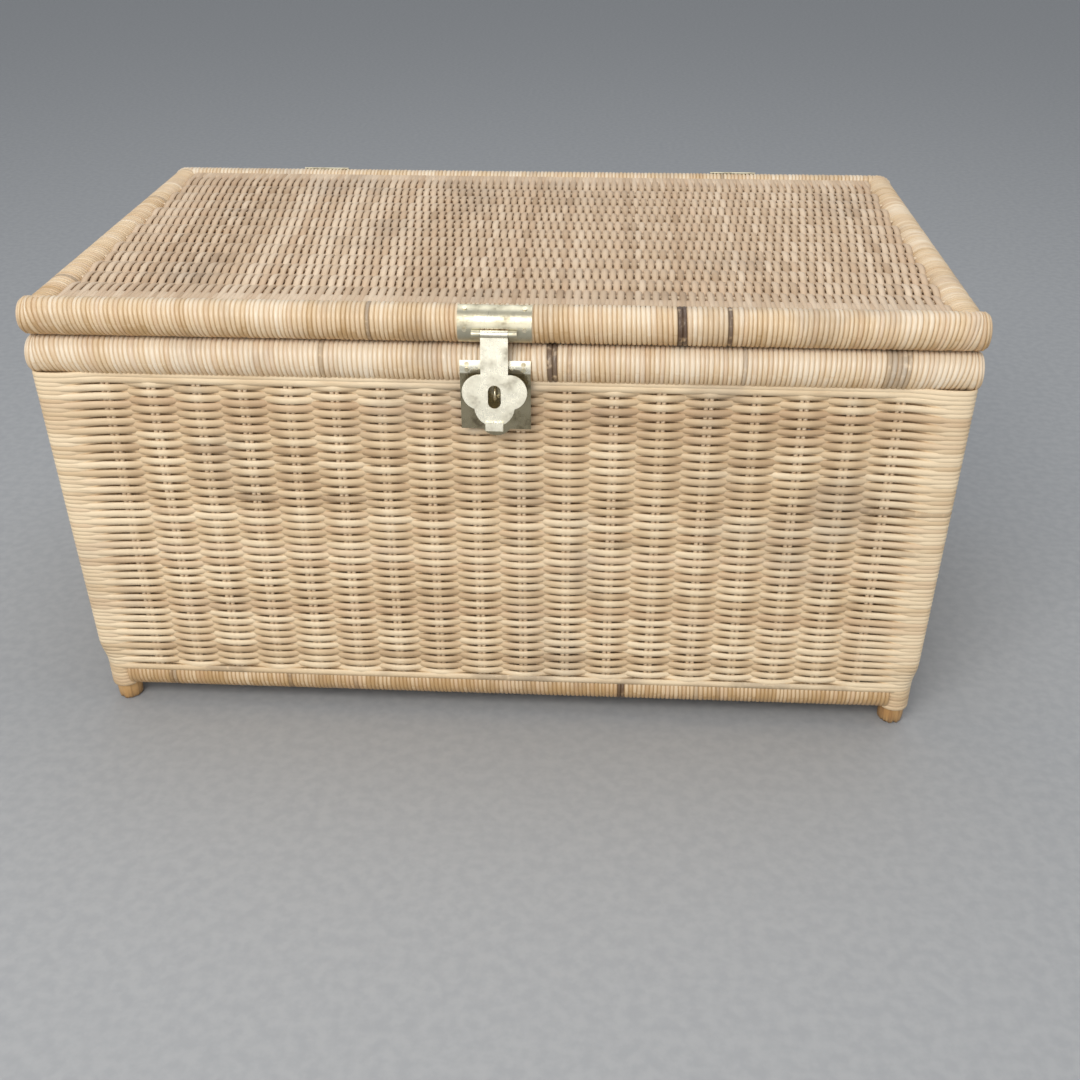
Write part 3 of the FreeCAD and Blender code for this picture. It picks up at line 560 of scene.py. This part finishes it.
def weave_wall(side, half, stakes, parity, start, with_corners):
    """One wall's canes.  The long walls carry the turns round the posts."""
    run = run_along(half, stakes)
    local = np.zeros((ROWS, len(run), 3))
    local[..., 0] = run
    standing = stand_out(run, half, stakes, parity)
    local[..., 1] = (POST_Y if with_corners else POST_X) + WALL_OFFSET + standing
    # painted highlight on the crests, where the canes stand out most over the stakes
    crest_highlight = CREST_HIGHLIGHT * np.clip(standing / SWING, 0, 1) ** CREST_HIGHLIGHT_NARROWNESS
    outward = facing(local, 1)
    if with_corners:
        bend = np.linspace(0, np.pi / 2, CORNER_STEPS)[1:]
        sweep = np.stack([np.sin(bend), np.cos(bend), 0 * bend], 1)
        square = (np.abs(sweep[:, :2]) ** CORNER_SQUARENESS).sum(1) ** (-1 / CORNER_SQUARENESS)
        wraps, share = corner_wraps()
        reach = (wraps * (1 + (square - 1) * share))[..., None]
        right = np.array([POST_X, POST_Y, 0]) + reach * sweep
        flip = np.array([-1, 1, 1])
        left, left_sweep = (right * flip)[:, ::-1], (sweep * flip)[::-1]
        local = np.concatenate([left, local, right], 1)
        sweeps = [np.broadcast_to(plan, right.shape) for plan in (left_sweep, sweep)]
        outward = np.concatenate([sweeps[0], outward, sweeps[1]], 1)
        crest_highlight = np.pad(crest_highlight, ((0, 0), (len(bend), len(bend))), mode="edge")
    steps = np.linalg.norm(np.diff(local[0], axis=0), axis=1)
    travel = start + np.concatenate([[0], np.cumsum(steps)])
    row = np.arange(ROWS)[:, None]
    rise = ROW_DRIFT * edge_fade(row, ROWS) * row_drift(travel, row)
    local[..., 2] = WALL_BASE + ROW_PITCH * (row + 0.5 + rise)
    wide = (ROW_PITCH / 2 * row_widths)[:, None]
    points = turned(side, swept(local, outward, facing(local, 2), CANE_HALF_THICK, wide, CANE_SIDES))
    layers = cane_layers(points, travel, row_seeds, row_tones, crest_highlight[..., None])
    node = f"woven_wall_{side}"
    build(f"{node}_canes", points, *layers, WALL_CANE, "trunk", "cane_weave", [node])
    return travel[-1]


reached = 0.0
for side in AROUND:
    if side in LONG_SIDES:
        reached = weave_wall(side, POST_X, FRONT_STAKES, 0, reached, True)
    else:
        reached = weave_wall(side, POST_Y, SIDE_STAKES, 1, reached, False)

# canes wound round each post below the wall, from the bend's first to its last angle
LOW_BEND = np.radians(np.linspace(-50, 118, 13))
LOW_SIDES = 8
# in half pitches: how far single canes are shifted, and how far all rise and fall round the post
LOW_LIFT, LOW_WAVE, LOW_WAVE_RATE = 0.15, 0.25, 1.3
LOW_ROWS = round((WALL_BASE - CORNER_LOW) / CANE_PITCH)
LOW_PITCH = (WALL_BASE - CORNER_LOW) / LOW_ROWS


def low_wraps(side, sign):
    """Canes wound round a post below the wall, beside the ends of the bottom rails."""
    sweep = np.stack([sign * np.sin(LOW_BEND), np.cos(LOW_BEND), 0 * LOW_BEND], 1)
    rng = np.random.default_rng(LOW_WRAP_SEEDS[side] + sign)
    turn = np.array([sign * POST_X, POST_Y, 0]) + LOW_WRAP * sweep
    local = np.broadcast_to(turn, (LOW_ROWS, *turn.shape)).copy()
    lift = rng.normal(size=(LOW_ROWS, 1)) * LOW_LIFT
    lift = lift + LOW_WAVE * np.cos(LOW_BEND * LOW_WAVE_RATE + rng.uniform(0, 3))[None]
    local[..., 2] = WALL_BASE - LOW_PITCH * (np.arange(LOW_ROWS)[:, None] + 0.5 - lift * 0.5)
    outward = np.broadcast_to(sweep, local.shape)
    wide = LOW_PITCH / 2 * FULLNESS
    points = turned(side, swept(local, outward, facing(local, 2), CANE_HALF_THICK, wide, LOW_SIDES))
    seeds = rng.uniform(0, MOST_SEED, LOW_ROWS)
    tone = tones(rng, LOW_ROWS, hold=0.3, size=0.15, stained=0.0)
    layers = cane_layers(points, distances(points), seeds, tone)
    end = {-1: "start", 1: "end"}[sign]
    build(f"low_wraps_{side}_{end}", points, *layers, WALL_CANE, "trunk", "cane_weave")


for side in LONG_SIDES:
    for sign in (-1, 1):
        low_wraps(side, sign)


# ---------------------------------------------------------------- woven lid and floor
PANEL_HALF_THICK = 1.5 * MM
LID_CANE_PITCH = 3.8 * MM
FLOOR_CANE_PITCH = 4.6 * MM
LID_STAKE_STEPS = 6
FLOOR_STAKE_STEPS = 5
# beyond the last stake a cane rises to the top of its swing, over this share of the way to the rail
END_RISE, END_SWING = 0.55, 0.9


def woven_panel(node, axis, reach, stakes, pitch, height, steps, rng, material, body, slot):
    """Canes along axis, out to reach each way, that pass over and under the stakes across them."""
    across_axis = 1 - axis
    width = 2 * reach[across_axis]
    count = round(width / pitch)
    order = np.arange(count)[:, None]
    inner = np.linspace(stakes[0], stakes[-1], (len(stakes) - 1) * steps + 1)
    head = np.linspace(-reach[axis], stakes[0], 5)[:-1]
    tail = np.linspace(stakes[-1], reach[axis], 5)[1:]
    run = np.concatenate([head, inner, tail])
    field = drift(rng, PANEL_DRIFT_REACH, DRIFT_ROWS)
    shift = ROW_DRIFT * edge_fade(order, count) * field(run, order)
    spine = np.empty((count, len(run), 3))
    spine[..., axis] = run
    spine[..., across_axis] = (order + 0.5 + shift) * width / count - reach[across_axis]
    sign = np.where(order % 2 == 0, 1.0, -1.0)
    nearest = np.clip(run, stakes[0], stakes[-1])
    wave = np.cos(np.pi * (nearest - stakes[0]) / (stakes[1] - stakes[0])) * sign
    off_end = smooth((np.abs(run) - stakes[-1]) / (END_RISE * (reach[axis] - stakes[-1])))
    wave = wave * (1 - off_end) + END_SWING * off_end
    spine[..., 2] = height + (STAKE / 2 + CANE_SHARE * PANEL_HALF_THICK) * wave
    wide = width / count / 2 * widths(rng, (count, 1))
    points = swept(spine, facing(spine, 2), facing(spine, across_axis), PANEL_HALF_THICK, wide, CANE_SIDES)
    # painted highlight, half as strong, on the crests over the stakes
    crest_highlight = 0.5 * CREST_HIGHLIGHT * np.clip(wave, 0, 1)[..., None]
    seeds = rng.uniform(0, MOST_SEED, count)
    tone = tones(rng, count, hold=0.4, size=0.18, stained=0.0)
    layers = cane_layers(points, distances(points), seeds, tone, crest_highlight)
    build(f"{node}_canes", points, *layers, material, body, slot, [node])


def spots(count, pitch):
    """Places of count stakes about the middle."""
    return (np.arange(count) - (count - 1) / 2) * pitch


lid_pitch = (lid_stakes_high[1] - lid_stakes_low[1] - STAKE) / (LID_STAKES - 1)
lid_reach = np.array([LID["x"] - LID_END * LID["radius"], LID["y"] - LID_EDGE * LID["radius"]])
woven_panel(
    "woven_lid_panel", 1, lid_reach, spots(LID_STAKES, lid_pitch), LID_CANE_PITCH,
    (lid_stakes_low[2] + lid_stakes_high[2]) / 2, LID_STAKE_STEPS, np.random.default_rng(LID_PANEL_SEED),
    LID_CANE, "lid", "lid_weave",
)
floor_reach = np.array([BOTTOM["x"], BOTTOM["y"]]) - FLOOR_EDGE * BOTTOM["radius"]
woven_panel(
    "woven_floor", 0, floor_reach, spots(FLOOR_STAKES, STAKE_PITCH), FLOOR_CANE_PITCH,
    (floor_stakes_low[2] + floor_stakes_high[2]) / 2, FLOOR_STAKE_STEPS,
    np.random.default_rng(FLOOR_PANEL_SEED), WALL_CANE, "trunk", "cane_weave",
)

# ---------------------------------------------------------------- wound rails
RAIL_SIDES = 24
# the section of one turn: steps across it, and its height there as a share of the cane's
TURN_STEPS = np.array([0.0, 0.08, 0.25, 0.5, 0.75, 0.92])
TURN_FLATNESS = 2.6
TURN_HEIGHTS = (1 - np.abs(2 * TURN_STEPS - 1) ** TURN_FLATNESS) ** (1 / TURN_FLATNESS)
# share of a cane's way round that shows, and how much widths and heights of turns vary
SHOWN_ROUND = 0.6
TURN_SPREAD = 0.09
LIFT_SPREAD, LIFT_MEAN, LIFT_LOWEST = 0.12 * MM, 0.1 * MM, -0.5 * MM
WAVER_HOLD, WAVER = 0.85, 0.35 * MM
# turns stop leaning this near a rail's end, and the last turn leaves this hole in it
END_FADE = 9 * MM
END_HOLE = 1 * MM
# changes of tint that paint light and shade: painted light paler on top, painted shade darker underneath
# and in the grooves
TOP_PAINTED_LIGHT = 0.3
GROOVE_SHADE = 0.7
UNDER_SHADE = 0.5
UNDER_START = 0.4
# whole-rail tints: the rim's is painted light against the shadow of the lid over it, the lid's side rails'
# is painted shade that dims their strongly lit tops, and the bottom rails are darker
LID_TINT, RIM_PAINTED_LIGHT, BOTTOM_TINT, SIDE_PAINTED_SHADE = 0.0, 0.35, -0.3, -0.15
LID_TURN_PITCH, RIM_TURN_PITCH, BOTTOM_TURN_PITCH = 4.07 * MM, 4.2 * MM, 4.0 * MM
# how far turns lean: near the middle, and by how much that changes at the ends
MIDDLE_LEAN, FRONT_LEAN, SIDE_LEAN = 0.5 * MM, 5.0 * MM, 2.0 * MM
BOTTOM_MIDDLE_LEAN, BOTTOM_LEAN = 0.6 * MM, 1.2 * MM
# a bottom winding stops this many post radii before the middle of the post
BOTTOM_END = 0.6
# place along the front, half width and strength of each patch of stained turns, in metres
LID_MARKS = [(0.156, 0.0040, 0.9), (0.195, 0.0035, 0.8), (-0.105, 0.002, 0.5)]
RIM_MARKS = [(0.049, 0.0045, 0.8), (0.334, 0.010, 0.35), (-0.15, 0.002, 0.3)]
BOTTOM_MARKS = [(0.115, 0.004, 0.8), (-0.33, 0.003, 0.4)]


def capped_rail(travel, reach, angle, line):
    """Points of a front or rear rail, wound on over its rounded ends to the middle of each end."""
    over = np.abs(travel) - line["straight"]
    inner = line["radius"] - line["round"]
    depth = line["round"] + reach - line["radius"]
    bend = np.clip(over / line["round"], 0, np.pi / 2)
    inward = np.clip(over - line["round"] * np.pi / 2, 0, inner - END_HOLE)
    along = np.where(over < 0, np.abs(travel), line["straight"] + depth * np.sin(bend)) * np.sign(travel)
    radial = inner + depth * np.cos(bend) - inward
    return np.stack([along, line["y"] + radial * np.cos(angle), line["z"] + radial * np.sin(angle)], -1)


def straight_rail(axis):
    """A function that gives the points of a straight rail, whose middle line is out along axis."""
    def path(travel, reach, angle, line):
        outward, up = reach * np.cos(angle), reach * np.sin(angle)
        return np.stack([travel, line[axis] + outward, line["z"] + up], -1)

    return path


def wind(node, side, line, path, half, pitch, lean, rng, marks, tint):
    """A rail wound turn by turn: rings whose radius rises and falls across each turn.

    tint makes the whole rail paler, or darker when it is negative.
    """
    turns = round(2 * half / pitch)
    edges = np.concatenate([[0], np.cumsum(1 + rng.normal(size=turns) * TURN_SPREAD)])
    edges = half * (2 * edges / edges[-1] - 1)
    turn = np.append(np.repeat(np.arange(turns), len(TURN_STEPS)), turns - 1)
    step = np.append(np.tile(TURN_STEPS, turns), 1.0)
    height = np.append(np.tile(TURN_HEIGHTS, turns), 0.0)
    travel = edges[turn] + step * (edges[turn + 1] - edges[turn])
    cane = pitch / 2
    lift = np.clip(rng.normal(size=turns) * LIFT_SPREAD - LIFT_MEAN, LIFT_LOWEST, 0)
    reach = line["radius"] - cane + cane * height + lift[turn] * height
    angle = np.arange(RAIL_SIDES) * 2 * np.pi / RAIL_SIDES
    waver = wander(rng, turns + 1, WAVER_HOLD, WAVER)
    edge_waver = waver[turn] + step * (waver[turn + 1] - waver[turn])
    fade = smooth((min(half, line.get("straight", half)) - np.abs(travel)) / END_FADE)
    slant = (lean(travel) + edge_waver) * fade
    shifted = travel[:, None] - slant[:, None] * np.sin(angle)
    local = path(shifted, reach[:, None] + 0 * shifted, angle + 0 * shifted, line)
    points = turned(side, local)[None]
    tone = tones(rng, turns, hold=0.5, size=0.14, stained=0.012)
    middles = (edges[:-1] + edges[1:]) / 2
    for place, width, strength in marks:
        tone[np.abs(middles - place) < width, 1] = strength
    grain = np.empty(points.shape)
    grain[..., 0] = angle * line["radius"]
    grain[..., 1] = (step * SHOWN_ROUND)[:, None]
    grain[..., 2] = rng.uniform(0, MOST_SEED, turns)[turn][:, None]
    layer = np.empty(points.shape)
    layer[...] = tone[turn][:, None]
    # painted light and shade in the tint: paler on top, darker underneath and in the grooves between turns
    under = np.clip(-np.sin(angle) - UNDER_START, 0, 1)
    layer[..., 0] += tint + TOP_PAINTED_LIGHT * np.sin(angle) - UNDER_SHADE * under
    layer[..., 0] -= GROOVE_SHADE * (1 - height)[:, None]
    body = "lid" if node.startswith("lid") else "trunk"
    build(f"{node}_turns", points, grain, layer, WINDING_CANE, body, "cane_winding", [node])


def frame_lean(half, least, most):
    """How far the turns lean at each place: a little near the middle, spreading to the ends."""
    return lambda travel: least - most * np.abs(travel / half) ** 3 * np.sign(travel)


def wind_frame(prefix, line, pitch, seed, marks, tint):
    """The four rails of the lid or the rim.  The front and rear ones run on to the corners."""
    for number, side in enumerate(AROUND):
        node = f"{prefix}_winding_{side}"
        rng = np.random.default_rng(seed + number)
        shown = marks if side == "front" else ()
        if side in LONG_SIDES:
            ends = rounded(line, FRONT_END_ROUND if side == "front" else REAR_END_ROUND)
            half = ends["straight"] + ends["round"] * math.pi / 2 + line["radius"] - ends["round"]
            lean = frame_lean(ends["straight"], MIDDLE_LEAN, FRONT_LEAN)
            wind(node, side, ends, capped_rail, half, pitch, lean, rng, shown, tint)
        else:
            lean = frame_lean(line["y"], MIDDLE_LEAN, SIDE_LEAN)
            path = straight_rail("x")
            wind(node, side, line, path, line["y"], pitch, lean, rng, shown, tint + SIDE_PAINTED_SHADE)


wind_frame("lid", LID, LID_TURN_PITCH, LID_RAIL_SEED, LID_MARKS, LID_TINT)
wind_frame("rim", RIM, RIM_TURN_PITCH, RIM_RAIL_SEED, RIM_MARKS, RIM_PAINTED_LIGHT)
for number, side in enumerate(AROUND):
    axis, post_place = ("y", POST_X) if side in LONG_SIDES else ("x", POST_Y)
    half = post_place - BOTTOM_END * POST_RADIUS
    path = straight_rail(axis)
    shown = BOTTOM_MARKS if side == "front" else ()
    lean = frame_lean(half, BOTTOM_MIDDLE_LEAN, BOTTOM_LEAN)
    rng = np.random.default_rng(BOTTOM_RAIL_SEED + number)
    node = f"bottom_winding_{side}"
    wind(node, side, BOTTOM, path, half, BOTTOM_TURN_PITCH, lean, rng, shown, BOTTOM_TINT)

# ---------------------------------------------------------------- corner posts
POST_SIDES = 28
# height and share of the post's radius of each ring
POST_RINGS = [
    (0.0, 0.80), (0.0006, 0.90), (0.0016, 0.955), (0.004, 0.98), (0.008, 0.99),
    (0.014, 1.0), (0.02, 1.0), (0.05, 1.0), (0.2, 1.0), (POST_TOP - 0.001, 1.0), (POST_TOP, 0.93),
]
# flutes and chips in shares of the radius, how many sides are chipped, and how high up they fade
FLUTE = 0.06
CHIPPED = 0.2
CHIP_LEAST, CHIP_MOST = 0.06, 0.15
SPLIT_HEIGHT = 0.018
# rings lower than UNEVEN_BELOW are raised at each side, by UNEVEN metres times its flute
UNEVEN_BELOW, UNEVEN = 0.001, 0.02
POST_GRAIN_SEED = np.array([3.0])
POST_TONE = np.array([[0.5, 0.0, 0.5]])


def post(row, side, sign_x, sign_y, rng):
    """A bare pole whose lower end is split and worn."""
    angle = np.arange(POST_SIDES) * 2 * np.pi / POST_SIDES
    heights = np.array([height for height, _ in POST_RINGS])
    share = np.array([part for _, part in POST_RINGS])
    flutes = np.abs(rng.normal(size=POST_SIDES)) * FLUTE
    split = np.exp(-heights / SPLIT_HEIGHT)[:, None]
    chips = (rng.uniform(size=POST_SIDES) < CHIPPED) * rng.uniform(CHIP_LEAST, CHIP_MOST, POST_SIDES)
    radius = POST_RADIUS * share[:, None] * (1 - (flutes + chips) * split)
    points = np.empty((1, len(heights), POST_SIDES, 3))
    points[0, ..., 0] = sign_x * POST_X + radius * np.cos(angle)
    points[0, ..., 1] = sign_y * POST_Y + radius * np.sin(angle)
    points[0, ..., 2] = heights[:, None] + (heights[:, None] < UNEVEN_BELOW) * flutes * UNEVEN
    layers = cane_layers(points, distances(points), POST_GRAIN_SEED, POST_TONE)
    node = f"corner_post_{row}_{side}"
    build(f"{node}_pole", points, *layers, POST_POLE, "trunk", "bare_pole", [node])


for row, sign_y in (("front", -1), ("rear", 1)):
    for side, sign_x in (("left", -1), ("right", 1)):
        post(row, side, sign_x, sign_y, np.random.default_rng(POST_SEED + 2 * sign_x + sign_y))


# ---------------------------------------------------------------- CAD nodes that keep their shape
def dressing(node):
    """The material of a CAD node that stays shown."""
    side = node.rsplit("_", 1)[-1]
    lengthwise = 1 if side in ("left", "right") else 0
    if node == "lid_stakes":
        return STAKE_REED[0]
    if node == "floor_stakes":
        return STAKE_REED[1]
    if node.startswith("stakes"):
        return STAKE_REED[2]
    if node == "floor_cross_bars":
        return BARE_POLE[1]
    if "pole" in node:
        return BARE_POLE[lengthwise]
    if "nails" in node or "pin" in node or node == "hasp_staple":
        return WIRE_BRASS
    if node == "hasp_back_plate" or node.startswith("hinge_rim_leaf"):
        return AGED_BRASS
    if node == "hasp_lid_plate" or node.startswith("hinge_lid_leaf"):
        return PLATE_BRASS
    return BRIGHT_BRASS


EDGE_WEAR = 0.25 * MM
EDGE_STEPS = 2
EDGE_ANGLE = math.radians(40)

for node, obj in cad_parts.items():
    obj.data.materials.clear()
    obj.data.materials.append(dressing(node))
    if node.startswith(("hasp_lid_plate", "hasp_strap", "hasp_back_plate")) and "nails" not in node:
        bevel = obj.modifiers.new("worn_edges", "BEVEL")
        bevel.width = EDGE_WEAR
        bevel.segments = EDGE_STEPS
        bevel.limit_method = "ANGLE"
        bevel.angle_limit = EDGE_ANGLE

# ---------------------------------------------------------------- floor, light and camera
FLOOR_HALF = 20.0


def stage_floor():
    mesh = bpy.data.meshes.new("floor")
    corners = [(-FLOOR_HALF, -FLOOR_HALF, 0), (FLOOR_HALF, -FLOOR_HALF, 0)]
    corners += [(FLOOR_HALF, FLOOR_HALF, 0), (-FLOOR_HALF, FLOOR_HALF, 0)]
    mesh.from_pydata(corners, [], [(0, 1, 2, 3)])
    mesh.materials.append(floor_material())
    floor = bpy.data.objects.new("floor", mesh)
    bpy.context.scene.collection.objects.link(floor)


def area_light(name, place, target, size, power, colour):
    data = bpy.data.lights.new(name, "AREA")
    data.shape = "RECTANGLE"
    data.size, data.size_y = size
    data.energy = power
    data.color = colour
    light = bpy.data.objects.new(name, data)
    light.location = place
    light.rotation_euler = (Vector(target) - Vector(place)).to_track_quat("-Z", "Y").to_euler()
    light.visible_camera = False
    bpy.context.scene.collection.objects.link(light)


stage_floor()
area_light("key", (-0.9, -2.2, 2.2), (0, 0, 0.25), (1.6, 1.2), 48, (1.0, 0.97, 0.94))
area_light("top", (0.3, 0.5, 2.8), (0, 0, 0.3), (2.4, 1.6), 20, (0.97, 0.98, 1.0))
area_light("front", (0.3, -3.0, 0.75), (0, 0, 0.3), (2.8, 1.3), 18, (1.0, 0.98, 0.97))
world = bpy.data.worlds.new("soft_sky")
world.use_nodes = True
background = world.node_tree.nodes["Background"]
background.inputs["Color"].default_value = (0.82, 0.85, 0.90, 1)
background.inputs["Strength"].default_value = 0.52
bpy.context.scene.world = world
bpy.context.scene.view_settings.view_transform = "Standard"

# where the camera stands in metres, its turns in degrees and its lens in millimetres
CAMERA_PLACE = (0.0912, -1.1877, 0.7844)
YAW, TILT, ROLL = 3.216, -30.995, 0.153
LENS, SENSOR_WIDTH = 41.01, 36.0
camera_data = bpy.data.cameras.new("camera")
camera_data.sensor_width = SENSOR_WIDTH
camera_data.lens = LENS
camera = bpy.data.objects.new("camera", camera_data)
camera.matrix_world = (
    Matrix.Translation(CAMERA_PLACE)
    @ Matrix.Rotation(math.radians(YAW), 4, "Z")
    @ Matrix.Rotation(math.radians(TILT), 4, "X")
    @ Matrix.Rotation(math.radians(ROLL), 4, "Y")
    @ Matrix.Rotation(math.radians(90), 4, "X")
)
bpy.context.scene.collection.objects.link(camera)
bpy.context.scene.camera = camera
